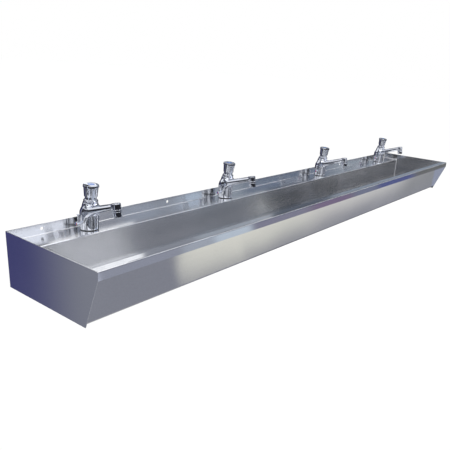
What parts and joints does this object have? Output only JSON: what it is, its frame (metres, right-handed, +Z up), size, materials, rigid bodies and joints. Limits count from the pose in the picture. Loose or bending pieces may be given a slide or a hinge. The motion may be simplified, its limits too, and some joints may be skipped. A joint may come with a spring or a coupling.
{
  "type": "wall-hung wash trough",
  "caption": "Long wall-hung stainless steel wash trough with a tap ledge, upstand, rolled front rim and self-closing push-button mixer taps with side levers.",
  "frame": {"origin": "on the wall plane, midway between the wall fixing holes in the upstand and at their height", "axes": "+X along the wall towards the right end seen from the user, +Y into the wall, +Z up"},
  "size_m": [2.4, 0.38, 0.3124],
  "materials": {
    "satin_steel": "satin brushed along the wall",
    "polished_steel": "polished",
    "chrome_plate": "mirror chrome",
    "blue_index": "gloss blue",
    "rubber": "matt black",
    "brass": "machined",
    "copper_tube": "drawn copper",
    "valve_plastic": "moulded",
    "white_plastic": "moulded",
    "spring_steel": "bright wire"
  },
  "bodies": {
    "trough": {"trough_pan": "satin_steel", "left_end_panel": "satin_steel", "right_end_panel": "satin_steel", "support_left": "satin_steel", "support_centre": "satin_steel", "support_right": "satin_steel", "waste_body": "chrome_plate", "waste_grid": "polished_steel", "waste_grid_screw": "polished_steel", "waste_upper_seal": "rubber", "waste_lower_seal": "rubber", "waste_back_nut": "brass", "tap_gaskets": "rubber", "tap_washers": "polished_steel", "tap_back_nuts": "brass", "tap_hot_tails": "copper_tube", "tap_cold_tails": "copper_tube", "tap_aerators": "white_plastic", "tap_1_body": "chrome_plate", "tap_1_bonnet": "chrome_plate", "tap_1_cartridge": "valve_plastic", "tap_1_spring": "spring_steel", "tap_1_nozzle": "chrome_plate", "tap_2_body": "chrome_plate", "tap_2_bonnet": "chrome_plate", "tap_2_cartridge": "valve_plastic", "tap_2_spring": "spring_steel", "tap_2_nozzle": "chrome_plate", "tap_3_body": "chrome_plate", "tap_3_bonnet": "chrome_plate", "tap_3_cartridge": "valve_plastic", "tap_3_spring": "spring_steel", "tap_3_nozzle": "chrome_plate", "tap_4_body": "chrome_plate", "tap_4_bonnet": "chrome_plate", "tap_4_cartridge": "valve_plastic", "tap_4_spring": "spring_steel", "tap_4_nozzle": "chrome_plate"},
    "button_1": {"tap_1_button": "chrome_plate", "tap_1_button_index": "blue_index"},
    "lever_1": {"tap_1_lever_spindle": "chrome_plate", "tap_1_lever_handle": "chrome_plate", "tap_1_lever_index": "blue_index"},
    "button_2": {"tap_2_button": "chrome_plate", "tap_2_button_index": "blue_index"},
    "lever_2": {"tap_2_lever_spindle": "chrome_plate", "tap_2_lever_handle": "chrome_plate", "tap_2_lever_index": "blue_index"},
    "button_3": {"tap_3_button": "chrome_plate", "tap_3_button_index": "blue_index"},
    "lever_3": {"tap_3_lever_spindle": "chrome_plate", "tap_3_lever_handle": "chrome_plate", "tap_3_lever_index": "blue_index"},
    "button_4": {"tap_4_button": "chrome_plate", "tap_4_button_index": "blue_index"},
    "lever_4": {"tap_4_lever_spindle": "chrome_plate", "tap_4_lever_handle": "chrome_plate", "tap_4_lever_index": "blue_index"}
  },
  "joints": [
    {"name": "tap_1_push", "type": "slide", "parent": "trough", "child": "button_1", "axis": [0, 0.0872, -0.9962], "range_m": [0, 0.006], "stiffness_N_per_m": 1500, "springref_m": -0.004, "deforming": ["tap_1_spring"]},
    {"name": "tap_1_mix", "type": "hinge", "parent": "trough", "child": "lever_1", "pos_m": [-0.973, -0.044, 0.008], "axis": [1, 0, 0], "range_deg": [-45, 45]},
    {"name": "tap_2_push", "type": "slide", "parent": "trough", "child": "button_2", "axis": [0, 0.0872, -0.9962], "range_m": [0, 0.006], "stiffness_N_per_m": 1500, "springref_m": -0.004, "deforming": ["tap_2_spring"]},
    {"name": "tap_2_mix", "type": "hinge", "parent": "trough", "child": "lever_2", "pos_m": [-0.365, -0.044, 0.008], "axis": [1, 0, 0], "range_deg": [-45, 45]},
    {"name": "tap_3_push", "type": "slide", "parent": "trough", "child": "button_3", "axis": [0, 0.0872, -0.9962], "range_m": [0, 0.006], "stiffness_N_per_m": 1500, "springref_m": -0.004, "deforming": ["tap_3_spring"]},
    {"name": "tap_3_mix", "type": "hinge", "parent": "trough", "child": "lever_3", "pos_m": [0.345, -0.044, 0.008], "axis": [1, 0, 0], "range_deg": [-45, 45]},
    {"name": "tap_4_push", "type": "slide", "parent": "trough", "child": "button_4", "axis": [0, 0.0872, -0.9962], "range_m": [0, 0.006], "stiffness_N_per_m": 1500, "springref_m": -0.004, "deforming": ["tap_4_spring"]},
    {"name": "tap_4_mix", "type": "hinge", "parent": "trough", "child": "lever_4", "pos_m": [1.015, -0.044, 0.008], "axis": [1, 0, 0], "range_deg": [-45, 45]}
  ]
}
